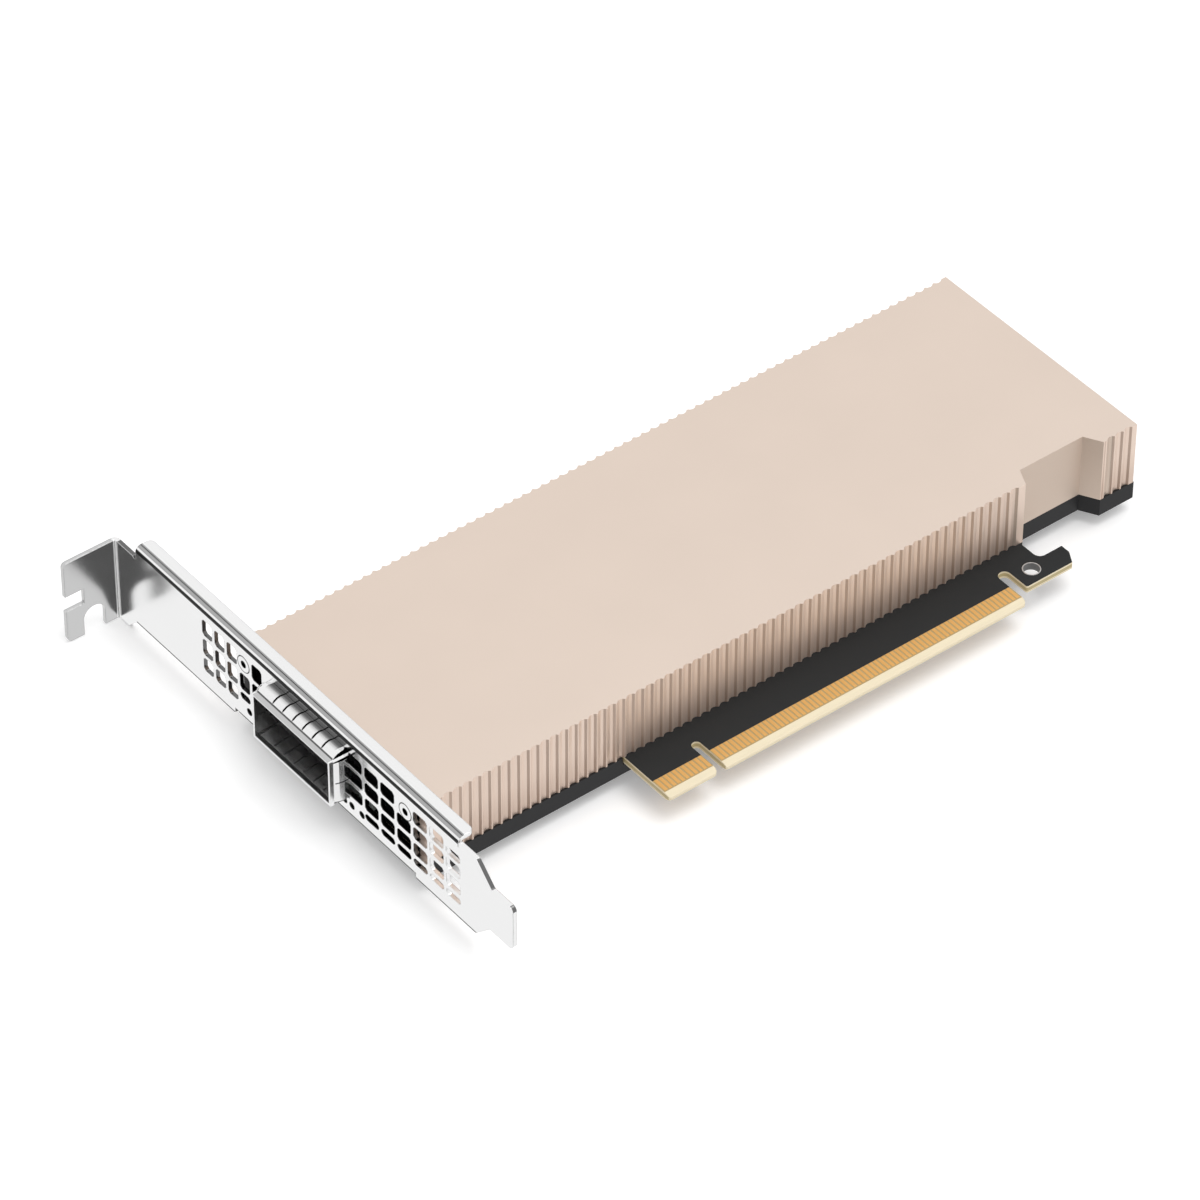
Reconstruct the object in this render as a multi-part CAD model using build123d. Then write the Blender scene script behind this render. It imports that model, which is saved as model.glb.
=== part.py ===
from build123d import *
from math import asin, cos, pi, sin
import os

os.makedirs("parts", exist_ok=True)

# Ethernet adapter card, sizes in millimetres.
# Datums while building: X = 0 is the bracket's front face, +X runs to the card's rear.
# Y = 0 is the tip of the edge connector, +Y runs to the bracket's tab.
# Z = 0 is the component face of the circuit board, +Z is the component side.

# General
fit_gap = 0.05
running_gap = 0.3
small_round_sides = 16
head_sides = 24

# Circuit board
board_thickness = 1.57
body_front = 1.5
body_near = 13.0
body_far = 68.0
tongue_left = 45.67
tongue_right = 129.97
key_x = 57.82
key_width = 1.90
key_top = 8.45
tip_bevel_length = 1.5
tip_bevel_depth = 0.5
tongue_corner = 1.0
hook_slot_right = 132.5
hook_slot_top = 9.1
hook_low = 3.05
hook_top = 7.72
hook_neck_right = 139.45
hook_toe_right = 145.05
hook_toe_bevel_x = 1.45
hook_toe_bevel_y = 2.55
hook_inner_radius = 1.5
hook_hole = (136.42, 6.3)
hook_hole_radius = 1.6
hook_pad_radius = 1.8

# Edge contacts
contact_pitch = 1.0
contact_width = 0.7
contact_start = 1.75
contact_length = 3.25
contact_thickness = 0.05
first_contact = 1.5
contact_end_margin = 0.5

# Heat sink
sink_rear = 167.45
sink_height = 14.3
sink_wall = 2.4
sink_top = 1.2
flute_pitch = 2.152
flute_width = 1.9
flute_depth = 0.5
flute_chords = 4
flute_first = 166.4
notch_front = 140.0
notch_rear = 159.2
notch_front_slope = 1.7
notch_rear_slope = 2.1
notch_depth = 3.65

# Fins and their base
fin_front = 78.0
fin_rear = 159.5
fin_near = 19.5
fin_far = 65.0
fin_base_low = 3.6
fin_base_thickness = 2.4
fin_count = 24
fin_thickness = 0.45
fin_leg_width = 5.0
fin_leg_x = (89.0, 152.0)
fin_leg_y = (24.5, 59.5)

# Back plate
plate_rear = 167.65
plate_low = -3.9
plate_floor = 1.0
plate_rim = 0.5
plate_ledge = 1.6
plate_boss_radius = 3.0
rim_gap_front = 45.3

# Bracket
sheet = 0.86
tab_inner = 105.65
tab_length = 11.6
tab_fold_radius = 0.5
tip_y = -13.5
tongue_low = 0.1
tongue_high = 10.29
tongue_root_low = -6.8
tongue_root_high = -7.4
tongue_low_radius = 1.3
tongue_high_radius = 1.0
edge_low = -3.95
recess_low = -2.95
recess_near = 15.2
recess_far = 68.0
recess_near_slope = 0.6
recess_far_slope = 1.3
relief_depth = 0.4
relief_width = 0.5
tab_low = -6.62
tab_high = 12.43
tab_shoulder = 102.6
body_high = 14.42
shoulder_notch_y = 100.1
shoulder_notch_depth = 0.5
flange_near = 2.2
flange_far = 99.1
flange_radius = 1.3
flange_rear = 3.7
flange_corner = 1.2
flange_relief = 0.6
flange_relief_width = 0.3
tab_outer_high_radius = 0.9
tab_outer_low_radius = 1.2
tab_slot_low = 0.9
tab_slot_high = 4.5
tab_slot_depth = 4.1
tab_arch_x = -5.45
tab_arch_radius = 2.37
tab_arch_centre = -3.1

# Bracket openings, given as centres along Y and low and high edges along Z
vent_corner = 0.5
left_vent_first = 76.975
left_vent_pitch = 3.8
left_vent_width = 3.05
left_rows = {"high": (8.55, 12.4), "middle": (3.75, 7.7), "low": (-0.15, 3.0), "half": (1.4, 3.0)}
left_columns = (
    ("high", "middle", "low"),
    ("high", "middle", "low"),
    ("high", "middle", "low"),
    ("middle", "half"),
    ("high", "middle"),
)
right_vent_first = 32.25
right_vent_pitch = 4.766
right_vent_width = 4.05
right_rows = {
    "high": (9.3, 12.25),
    "short": (9.3, 11.2),
    "middle": (5.6, 8.5),
    "low": (1.7, 4.65),
    "half": (-0.7, 0.85),
}
right_columns = (
    ("high", "middle", "low"),
    ("high", "middle", "low", "half"),
    ("high", "middle", "low", "half"),
    ("middle", "low", "half"),
    ("high", "middle", "low", "half"),
    ("high", "middle", "low", "half"),
    ("short", "middle", "low", "half"),
)
led_hole_radius = 0.8
led_hole_z = -0.48
led_hole_y = (64.5, 35.7, 33.5, 30.5)
led_size = (1.2, 1.6, 0.8)

# Screws
bracket_screw_places = ((65.8, 10.3), (17.5, 10.15))
screw_head_radius = 1.85
screw_head_depth = 0.85
screw_head_slope = 45
screw_radius = 1.0
screw_hole_radius = 1.25
screw_recess_radius = 0.75
screw_recess_depth = 0.55
bracket_screw_length = 6.0
plate_screw_length = 7.4
screw_end_gap = 0.5
screw_overlap = 0.1
boss_half = 1.7
boss_length = 8.0

# Transceiver cage
cage_sheet = 0.25
cage_front = -3.95
cage_rear = 68.0
cage_near = 34.45
cage_width = 23.0
cage_low = 1.15
cage_height = 10.4
cage_window_front = 18.0
cage_window_rear = 46.0
cage_window_inset = 3.5
cage_pin_width = 0.8
cage_pin_x = (6.0, 22.0, 38.0, 54.0, 66.0)
connector_front = 50.0
connector_side_gap = 1.05
connector_wall = 0.7
connector_height = 8.6
connector_floor_gap = 16.5

# Spring band on the cage's mouth
band_sheet = 0.12
band_root = -3.2
finger_crease = -1.2
finger_tail = -0.05
top_finger_rise = 1.1
side_finger_rise = 0.5
corner_finger_rise = 0.75
corner_finger_width = 0.5
tail_share = 0.85
inner_finger_rise = 0.35
inner_side_rise = 0.1
inner_crease = -0.6
inner_tail = 1.0
top_finger_steps = 3
side_finger_steps = 2
finger_pitch = 2.93
finger_slit = 0.28
top_slits = 6
top_slit_shift = -0.45
top_row_inset = 0.2
top_row_corner = 1.2
side_slits = 1
side_slit_shift = -0.3
side_row_inset = 0.5

# Port connector contacts
port_slot_height = 1.4
port_slot_depth = 8.0
port_contact_pitch = 0.6
port_contact_margin = 0.7
port_contact_width = 0.3
port_contact_height = 0.25

# Electronics under the heat sink
chip_centre = (112.0, 42.0)
chip_size = 35.0
chip_thickness = 1.6
lid_size = 27.0
lid_thickness = 1.3
inductor_size = (5.4, 5.2, 3.1)
inductor_x = 81.8
inductor_y = (26.0, 33.0, 40.0, 47.0)
power_stage_size = (5.0, 5.0, 0.9)
power_stage_x = 74.0
bulk_size = (3.5, 2.8, 1.9)
bulk_x = 74.0
bulk_y = (20.8, 54.0, 58.5)
chip_cap_size = (1.6, 0.8, 0.8)
chip_cap_count = 4
chip_cap_pitch = 7.2
chip_cap_gap = 2.4
coupling_size = (0.5, 1.0, 0.5)
coupling_pitch = 4.0
coupling_count = 16
coupling_first = 62.0
coupling_y = 17.6
flash_size = (6.0, 8.0, 0.9)
flash_place = (147.0, 52.0)
oscillator_size = (2.5, 3.2, 0.9)
oscillator_place = (147.0, 36.0)
under_cap_size = (1.0, 0.5, 0.5)
under_cap_grid = 3
under_cap_pitch = 4.2

# Sizes that follow from the ones above
board_low = -board_thickness
board_inset = plate_rim + fit_gap
tab_outer = tab_inner + sheet
flange_high = body_high + sheet
flange_tangent = flange_high - flange_radius
sink_inner_top = sink_height - sink_top
sink_inner_near = body_near + sink_wall
sink_inner_far = body_far - sink_wall
fin_base_high = fin_base_low + fin_base_thickness
cage_far = cage_near + cage_width
cage_high = cage_low + cage_height
cage_middle = cage_near + cage_width / 2
cage_centre_z = cage_low + cage_height / 2
connector_width = cage_width - 2 * cage_sheet - 2 * connector_side_gap
port_slot_width = connector_width - 2 * connector_wall
port_contacts = int((port_slot_width - 2 * port_contact_margin) / port_contact_pitch) + 1
lid_top = chip_thickness + lid_thickness
plate_screw_places = [(x, y) for x in fin_leg_x for y in fin_leg_y]

# The frame's origin is the middle of the card's footprint at its lowest point
frame_shift = Pos(
    -(plate_rear - tab_length) / 2,
    -(tab_outer + tip_y) / 2,
    -tab_low,
)


def block(x_range, y_range, z_range):
    """Upright block between three pairs of limits."""
    sizes = [high - low for low, high in (x_range, y_range, z_range)]
    centre = [(high + low) / 2 for low, high in (x_range, y_range, z_range)]
    return Pos(*centre) * Box(*sizes)


def prism(outline, low, high):
    """A flat outline raised from one height to another."""
    return extrude(Pos(0, 0, low) * outline, amount=high - low, dir=(0, 0, 1))


def rectangle(x_range, y_range):
    """Flat rectangle between two pairs of limits."""
    return Pos(sum(x_range) / 2, sum(y_range) / 2) * Rectangle(
        x_range[1] - x_range[0], y_range[1] - y_range[0]
    )


def round_corners(outline, corners):
    """Round the corners that lie nearest to the given points."""
    for place, radius in corners:
        nearest = outline.vertices().sort_by_distance((*place, 0))[0]
        outline = fillet(nearest, radius)
    return outline


def cylinder_up(place, radius, low, high):
    """Upright cylinder at a place on the board."""
    return Pos(place[0], place[1], (low + high) / 2) * Cylinder(radius, high - low)


def small_round(place, radius, low, high):
    """Upright hole or shank of a small screw, drawn with a few flat sides."""
    return prism(Pos(*place) * RegularPolygon(radius, small_round_sides), low, high)


def chips(size, places, low=0.0):
    """Equal rectangular components standing on the board, one solid each."""
    length, width, height = size
    return [Pos(x, y, low + height / 2) * Box(length, width, height) for x, y in places]


def save(name, solids):
    """Write one named piece in the frame of the finished card."""
    solids = solids if isinstance(solids, list) else [solids]
    export_step(Compound(children=[frame_shift * solid for solid in solids]), f"parts/{name}.step")


# Outlines that the board, the back plate and the heat sink share


def card_outline(rear, inset):
    """Card outline seen from above, with the bay in its near side, drawn in by an inset."""
    points = [
        (body_front, body_near),
        (notch_front, body_near),
        (notch_front + notch_front_slope, body_near + notch_depth),
        (notch_rear - notch_rear_slope, body_near + notch_depth),
        (notch_rear, body_near),
        (rear, body_near),
        (rear, body_far),
        (body_front, body_far),
    ]
    outline = Polygon(*points, align=None)
    if inset:
        outline = offset(outline, amount=-inset, kind=Kind.INTERSECTION)
    return outline


# Circuit board


def tongue_outline():
    """Edge connector tongue with its key slot, and the retention hook beside it."""
    top = body_near + 2 * board_inset
    tongue = rectangle((tongue_left, hook_neck_right), (0, top))
    key_radius = key_width / 2
    key = rectangle((key_x - key_radius, key_x + key_radius), (-1, key_top - key_radius))
    key += Pos(key_x, key_top - key_radius) * Circle(key_radius)
    slot_radius = (hook_slot_right - tongue_right) / 2
    slot = rectangle((tongue_right, hook_slot_right), (-1, hook_slot_top - slot_radius))
    slot += Pos(tongue_right + slot_radius, hook_slot_top - slot_radius) * Circle(slot_radius)
    hook_cut = rectangle((tongue_right + slot_radius, hook_toe_right), (-1, hook_low))
    toe = Polygon(
        (hook_slot_right + slot_radius, hook_low),
        (hook_toe_right - hook_toe_bevel_x, hook_low),
        (hook_toe_right, hook_low + hook_toe_bevel_y),
        (hook_toe_right, hook_top),
        (hook_slot_right + slot_radius, hook_top),
        align=None,
    )
    outline = tongue - key - slot - hook_cut + toe
    return round_corners(
        outline,
        [
            ((tongue_left, 0), 0.7 * tongue_corner),
            ((key_x - key_radius, 0), tongue_corner),
            ((key_x + key_radius, 0), 0.4 * tongue_corner),
            ((tongue_right, 0), tongue_corner),
            ((hook_slot_right, hook_low), 0.4 * tongue_corner),
            ((hook_neck_right, hook_top), hook_inner_radius),
        ],
    )


def tip_bevel(face_z, inward):
    """Wedge that bevels one face of the connector tip."""
    wedge = Polygon(
        (-1, face_z - inward * tip_bevel_depth * (1 + 1 / tip_bevel_length)),
        (tip_bevel_length, face_z),
        (-1, face_z),
        align=None,
    )
    return extrude(
        Pos(tongue_left - 1, 0, 0) * (Plane.YZ * wedge),
        amount=tongue_right - tongue_left + 1.5,
        dir=(1, 0, 0),
    )


def circuit_board():
    outline = card_outline(plate_rear, board_inset) + tongue_outline()
    board = prism(outline, board_low, 0)
    board -= tip_bevel(0, 1)
    board -= tip_bevel(board_low, -1)
    board -= cylinder_up(hook_hole, hook_hole_radius, board_low - 1, 1)
    for place in plate_screw_places:
        board -= small_round(place, screw_hole_radius, board_low - 1, 1)
    for pin in cage_pins(fit_gap):
        board -= pin
    return board


def contact_places():
    """Contacts on both sides of the key, as many as the tongue has room for."""
    places = []
    for side, tongue_end in ((-1, tongue_left), (1, tongue_right)):
        room = abs(tongue_end - key_x) - first_contact - contact_end_margin
        for i in range(int(room / contact_pitch) + 1):
            places.append((key_x + side * (first_contact + contact_pitch * i), contact_start + contact_length / 2))
    return places


def edge_contacts(low):
    return chips((contact_width, contact_length, contact_thickness), contact_places(), low)


def hook_hole_plating():
    """Plated rings round the hook's hole, one on each face of the board."""
    ring = Circle(hook_pad_radius) - Circle(hook_hole_radius)
    lows = (0, board_low - contact_thickness)
    return [prism(Pos(*hook_hole) * ring, low, low + contact_thickness) for low in lows]


# Heat sink


def flute(x, face, outward):
    """Concave groove in a long side, its arc drawn as a few equal chords."""
    half_width = flute_width / 2
    radius = (half_width**2 + flute_depth**2) / (2 * flute_depth)
    half_angle = asin(half_width / radius)
    angles = [half_angle * (2 * i / flute_chords - 1) for i in range(flute_chords + 1)]
    reach = radius - flute_depth
    points = [(x + radius * sin(a), face + outward * (reach - radius * cos(a))) for a in angles]
    points += [(x + half_width, face + outward), (x - half_width, face + outward)]
    return Polygon(*points, align=None)


def flutes():
    """Upright grooves in a row along both long sides, left out at the bay."""
    count = int((flute_first - body_front - flute_pitch) / flute_pitch)
    cuts = []
    for i in range(count):
        x = flute_first - flute_pitch * (i + 0.5)
        cuts.append(flute(x, body_far, 1))
        before_notch = x + flute_pitch / 2 < notch_front
        behind_notch = x - flute_pitch / 2 > notch_rear
        if before_notch or behind_notch:
            cuts.append(flute(x, body_near, -1))
    return cuts


def heat_sink():
    """Fluted cover, open to the board and at both ends."""
    outline = card_outline(sink_rear, 0) - flutes()
    hollow = card_outline(sink_rear, sink_wall)
    hollow += rectangle((body_front - 1, body_front + 2 * sink_wall), (sink_inner_near, sink_inner_far))
    hollow += rectangle((sink_rear - 2 * sink_wall, sink_rear + 1), (sink_inner_near, sink_inner_far))
    sink = prism(outline, 0, sink_height) - prism(hollow, -1, sink_inner_top)
    for y, z in bracket_screw_places:
        sink += screw_boss(y, z)
        sink -= along_x(y, z, screw_radius, sheet - 1, bracket_screw_length + screw_end_gap)
    return sink


def screw_boss(y, z):
    """Block inside the cover that takes a screw of the bracket."""
    return block((sheet, boss_length), (y - boss_half, y + boss_half), (z - boss_half, sink_inner_top + 0.1))


def along_x(y, z, radius, front, rear):
    """Hole or shank of a small screw that lies along X."""
    return Pos(0, y, z) * Rot(0, 90, 0) * small_round((0, 0), radius, front, rear)


def fin_pack():
    """Base plate with upright fins that run from front to rear, and four screw legs."""
    pack = block((fin_front, fin_rear), (fin_near, fin_far), (fin_base_low, fin_base_high))
    pitch = (fin_far - fin_near - fin_thickness) / (fin_count - 1)
    for i in range(fin_count):
        y = fin_near + pitch * i
        pack += block((fin_front, fin_rear), (y, y + fin_thickness), (fin_base_high - 0.1, sink_inner_top))
    for x in fin_leg_x:
        for y in fin_leg_y:
            half = fin_leg_width / 2
            pack += block((x - half, x + half), (y - half, y + half), (0, fin_base_low + 0.1))
            pack -= small_round((x, y), screw_radius, -1, plate_screw_length + plate_low + screw_end_gap)
    return pack


# Back plate


def back_plate():
    """Shallow tray that covers the board's solder side, with a rim round the board's edge."""
    tray = prism(card_outline(plate_rear, 0), plate_low, 0)
    tray -= prism(card_outline(plate_rear, plate_rim), board_low, 1)
    tray -= prism(card_outline(plate_rear, plate_rim + plate_ledge), plate_low + plate_floor, 1)
    tray -= block((rim_gap_front, hook_neck_right + fit_gap), (body_near - 1, body_near + 1), (board_low, 1))
    for place in plate_screw_places:
        boss = Pos(*place) * RegularPolygon(plate_boss_radius, 6)
        tray += prism(boss, plate_low + plate_floor / 2, board_low)
    for place in plate_screw_places:
        tray -= small_round(place, screw_hole_radius, plate_low - 1, 1)
        tray -= Pos(*place, 0) * head_cone(plate_low, fit_gap)
    return tray


# Screws


def head_cone(face, gap):
    """Countersunk head under the face of a plate, widened by a gap for its seat."""
    top = Pos(0, 0, face) * RegularPolygon(screw_head_radius + gap, head_sides)
    return extrude(top, amount=screw_head_depth, dir=(0, 0, 1), taper=screw_head_slope)


def countersunk_screw(length):
    """Countersunk screw that points up, with its head face at height 0 and a six-sided recess."""
    screw = head_cone(0, 0)
    screw += small_round((0, 0), screw_radius - fit_gap / 2, screw_head_depth - screw_overlap, length)
    return screw - prism(RegularPolygon(screw_recess_radius, 6), -0.1, screw_recess_depth)


def bracket_screws():
    screw = countersunk_screw(bracket_screw_length)
    return [Pos(0, y, z) * Rot(0, 90, 0) * screw for y, z in bracket_screw_places]


def plate_screws():
    screw = countersunk_screw(plate_screw_length)
    return [Pos(x, y, plate_low) * screw for x, y in plate_screw_places]


# Bracket


def bracket_face_outline():
    """Front view of the bracket's flat face, from its lower tongue to the tab's fold."""
    fold = tab_inner - tab_fold_radius
    relief_half = relief_width / 2
    slope_low = tongue_root_low + tongue_low - edge_low
    slope_high = tongue_root_high + body_high - tongue_high
    outline = Polygon(
        (tip_y, tongue_low),
        (tongue_root_low, tongue_low),
        (slope_low, edge_low),
        (recess_near - recess_near_slope, edge_low),
        (recess_near - relief_half, recess_low),
        (recess_near, recess_low + relief_depth),
        (recess_near + relief_half, recess_low),
        (recess_far - relief_half, recess_low),
        (recess_far, recess_low + relief_depth),
        (recess_far + relief_half, recess_low),
        (recess_far + recess_far_slope, edge_low),
        (tab_shoulder + tab_low - edge_low, edge_low),
        (tab_shoulder, tab_low),
        (fold, tab_low),
        (fold, tab_high),
        (shoulder_notch_y, tab_high),
        ((shoulder_notch_y + flange_far) / 2, tab_high - shoulder_notch_depth),
        (flange_far, tab_high),
        (flange_far, flange_tangent),
        (flange_near, flange_tangent),
        (flange_near, flange_tangent - flange_relief),
        (flange_near - flange_relief_width, flange_tangent - flange_relief),
        (flange_near - flange_relief_width, body_high),
        (slope_high, body_high),
        (tongue_root_high, tongue_high),
        (tip_y, tongue_high),
        align=None,
    )
    return round_corners(
        outline,
        [
            ((tip_y, tongue_low), tongue_low_radius),
            ((tip_y, tongue_high), tongue_high_radius),
            ((slope_low, edge_low), tongue_high_radius),
        ],
    )


def vent_group(first, pitch, width, rows, columns):
    """Vents of one side of the port, with eased corners, column by column away from the first."""
    cuts = []
    for i, column in enumerate(columns):
        y = first - pitch * i
        for row in column:
            low, high = rows[row]
            vent = chamfer(Rectangle(width, high - low).vertices(), vent_corner)
            cuts.append(Pos(y, (low + high) / 2) * vent)
    return cuts


def bracket_openings():
    cuts = vent_group(left_vent_first, left_vent_pitch, left_vent_width, left_rows, left_columns)
    cuts += vent_group(right_vent_first, right_vent_pitch, right_vent_width, right_rows, right_columns)
    cuts += [Pos(y, led_hole_z) * RegularPolygon(led_hole_radius, small_round_sides) for y in led_hole_y]
    return cuts


def bent_tab():
    """Tab folded forward at the bracket's top, with its screw slot and arch notch."""
    fold = tab_inner - tab_fold_radius
    path = FilletPolyline((0, fold - 0.01), (0, tab_inner), (-tab_length, tab_inner), radius=tab_fold_radius)
    strip = make_face(offset(path, amount=sheet, side=Side.RIGHT, closed=True))
    tab = prism(strip, tab_low, tab_high)
    outline = rectangle((-tab_length, sheet + 1), (tab_low, tab_high))
    outline = round_corners(
        outline,
        [((-tab_length, tab_high), tab_outer_high_radius), ((-tab_length, tab_low), tab_outer_low_radius)],
    )
    outline -= rectangle((-tab_length - 1, -tab_length + tab_slot_depth), (tab_slot_low, tab_slot_high))
    outline -= Pos(tab_arch_x, tab_arch_centre) * Circle(tab_arch_radius)
    outline -= rectangle(
        (tab_arch_x - tab_arch_radius, tab_arch_x + tab_arch_radius), (tab_low - 1, tab_arch_centre)
    )
    shape = extrude(Pos(0, fold - 1, 0) * (Plane.XZ * outline), amount=sheet + 3, dir=(0, 1, 0))
    return tab & shape


def bent_flange():
    """Long flange folded back over the front edge of the heat sink."""
    path = FilletPolyline(
        (0, flange_tangent - 0.01), (0, flange_high), (flange_rear, flange_high), radius=flange_radius
    )
    strip = make_face(offset(path, amount=sheet, side=Side.RIGHT, closed=True))
    strip = Pos(0, flange_near, 0) * (Plane.XZ * strip)
    flange = extrude(strip, amount=flange_far - flange_near, dir=(0, 1, 0))
    corners = flange.edges().filter_by(Axis.Z).group_by(Axis.X)[-1]
    return fillet(corners, flange_corner)


def bracket():
    outline = bracket_face_outline() - bracket_openings()
    outline -= rectangle(
        (cage_near - running_gap, cage_far + running_gap), (cage_low - running_gap, cage_high + running_gap)
    )
    face = extrude(Plane.YZ * outline, amount=sheet, dir=(1, 0, 0))
    plate = face + bent_tab() + bent_flange()
    for y, z in bracket_screw_places:
        plate -= along_x(y, z, screw_hole_radius, -1, 2)
        plate -= Pos(0, y, z) * Rot(0, 90, 0) * head_cone(0, fit_gap)
    return plate


# Transceiver cage


def cage_pins(gap=0.0):
    """Pins of the cage's side walls that enter the board, widened by a gap for their slots."""
    half = cage_pin_width / 2 + gap
    pins = []
    for x in cage_pin_x:
        for y in (cage_near, cage_far - cage_sheet):
            walls = (y - gap, y + cage_sheet + gap)
            pins.append(block((x - half, x + half), walls, (board_low, gap)))
    return pins


def cage_shell():
    """Folded sheet-metal cage, open at its mouth and over the connector."""
    shell = block((cage_front, cage_rear), (cage_near, cage_far), (cage_low, cage_high))
    skirt_front = body_front + board_inset + led_size[0] + running_gap
    shell += block((skirt_front, cage_rear), (cage_near, cage_far), (0, cage_low))
    inner_near = cage_near + cage_sheet
    inner_far = cage_far - cage_sheet
    shell -= block(
        (cage_front - 1, cage_rear - cage_sheet),
        (inner_near, inner_far),
        (cage_low + cage_sheet, cage_high - cage_sheet),
    )
    shell -= block((skirt_front - 1, cage_rear - cage_sheet), (inner_near, inner_far), (-1, cage_low))
    shell -= block(
        (cage_rear - cage_sheet - connector_floor_gap, cage_rear - cage_sheet),
        (inner_near, inner_far),
        (cage_low - 1, cage_low + 1),
    )
    shell -= block(
        (cage_window_front, cage_window_rear),
        (inner_near + cage_window_inset, inner_far - cage_window_inset),
        (cage_high - 1, cage_high + 1),
    )
    for pin in cage_pins():
        shell += pin
    return shell


def cage_heat_plate():
    """Plate between the heat sink and the module, with a pedestal through the cage's window."""
    near = cage_near + cage_sheet + cage_window_inset + running_gap
    far = cage_far - cage_sheet - cage_window_inset - running_gap
    pedestal = block(
        (cage_window_front + running_gap, cage_window_rear - running_gap),
        (near, far),
        (cage_high - cage_sheet, cage_high + 0.1),
    )
    plate = block(
        (cage_window_front - 2, cage_window_rear + 2),
        (near - 2, far + 2),
        (cage_high, sink_inner_top),
    )
    return plate + pedestal


def finger_row(length, slits, shift, rise, ends, steps=1, corner=0.0):
    """Row of spring fingers: local X along the cage, Y along its side and Z away from its wall."""
    crease, tail = ends
    shares = [i / steps for i in range(steps + 1)]
    curve = [(band_root + (crease - band_root) * t, rise * sin(pi / 2 * t)) for t in shares]
    path = Polyline((band_root - 0.1, 0), *curve, (tail, rise * tail_share))
    strip = make_face(offset(path, amount=band_sheet, side=Side.LEFT, closed=True))
    row = extrude(Pos(0, -length / 2, 0) * (Plane.XZ * strip), amount=length, dir=(0, 1, 0))
    if corner:
        outline = rectangle((band_root - 1, tail + band_sheet), (-length / 2, length / 2))
        outline = fillet(outline.vertices().group_by(Axis.X)[-1], corner)
        row &= prism(outline, -1, rise + 1)
    for i in range(slits):
        y = finger_pitch * (i - (slits - 1) / 2) + shift
        row -= block((band_root + 0.3, tail + 1), (y - finger_slit / 2, y + finger_slit / 2), (-1, rise + 1))
    return row


def band_collar():
    """Strip folded over the cage's front edge, outside and inside."""
    front = cage_front - band_sheet
    lining_walls = (cage_near + cage_sheet, cage_far - cage_sheet)
    lining_heights = (cage_low + cage_sheet, cage_high - cage_sheet)
    collar = block(
        (front, band_root),
        (cage_near - band_sheet, cage_far + band_sheet),
        (cage_low - band_sheet, cage_high + band_sheet),
    )
    collar -= block((cage_front, band_root + 1), (cage_near, cage_far), (cage_low, cage_high))
    collar += block((front, band_root), lining_walls, lining_heights)
    return collar - block(
        (front - 1, band_root + 1),
        (lining_walls[0] + band_sheet, lining_walls[1] - band_sheet),
        (lining_heights[0] + band_sheet, lining_heights[1] - band_sheet),
    )


def cage_spring_band():
    """Grounding spring on the cage's mouth, with fingers that press outward and inward."""
    band = band_collar()
    outer = (finger_crease, finger_tail)
    inner = (inner_crease, inner_tail)
    wide = (cage_width - 2 * top_row_inset, top_slits, top_slit_shift)
    wide_inner = (cage_width - 2 * cage_sheet - 2 * side_row_inset, top_slits, top_slit_shift)
    narrow = (corner_finger_width, 0, 0)
    tall = (cage_height - 2 * side_row_inset, side_slits, side_slit_shift)
    tall_inner = (cage_height - 2 * cage_sheet - 2 * side_row_inset, side_slits, side_slit_shift)
    rows = (
        ((cage_middle, cage_high), (0, 1), wide, top_finger_rise, outer, (top_finger_steps, top_row_corner)),
        ((cage_near, cage_high), (-1, 1), narrow, corner_finger_rise, outer, (side_finger_steps,)),
        ((cage_far, cage_high), (1, 1), narrow, corner_finger_rise, outer, (side_finger_steps,)),
        ((cage_middle, cage_low), (0, -1), wide, side_finger_rise, outer, ()),
        ((cage_near, cage_centre_z), (-1, 0), tall, side_finger_rise, outer, (side_finger_steps,)),
        ((cage_far, cage_centre_z), (1, 0), tall, side_finger_rise, outer, (side_finger_steps,)),
        ((cage_middle, cage_high - cage_sheet), (0, -1), wide_inner, inner_finger_rise, inner, ()),
        ((cage_middle, cage_low + cage_sheet), (0, 1), wide_inner, inner_finger_rise, inner, ()),
        ((cage_near + cage_sheet, cage_centre_z), (1, 0), tall_inner, inner_side_rise, inner, ()),
        ((cage_far - cage_sheet, cage_centre_z), (-1, 0), tall_inner, inner_side_rise, inner, ()),
    )
    for place, outward, row, rise, ends, form in rows:
        seat = Plane(origin=(0, *place), x_dir=(1, 0, 0), z_dir=(0, *outward))
        band += seat * finger_row(*row, rise, ends, *form)
    return band


def port_connector():
    """Connector housing at the rear of the cage, with a slot for the module's card edge."""
    near = cage_middle - connector_width / 2
    rear = cage_rear - cage_sheet - running_gap
    housing = block((connector_front, rear), (near, near + connector_width), (0, connector_height))
    housing -= block((connector_front - 1, rear), (near - 1, near + connector_width + 1), (-1, 0))
    housing -= port_slot()
    foot = cage_low + cage_sheet + running_gap
    floor_end = cage_rear - cage_sheet - connector_floor_gap + running_gap
    return housing - block((connector_front - 1, floor_end), (near - 1, cage_far), (-1, foot))


def port_slot():
    middle = cage_centre_z
    return block(
        (connector_front - 1, connector_front + port_slot_depth),
        (cage_middle - port_slot_width / 2, cage_middle + port_slot_width / 2),
        (middle - port_slot_height / 2, middle + port_slot_height / 2),
    )


def port_connector_contacts():
    """Two facing rows of contacts inside the connector's slot."""
    reach = port_slot_depth - 1
    x = connector_front + 0.5 + reach / 2
    places = [
        (x, cage_middle + port_contact_pitch * (i - (port_contacts - 1) / 2)) for i in range(port_contacts)
    ]
    size = (reach, port_contact_width, port_contact_height)
    low = cage_centre_z - port_slot_height / 2
    high = cage_centre_z + port_slot_height / 2 - port_contact_height
    return chips(size, places, low) + chips(size, places, high)


# Electronics


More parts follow.
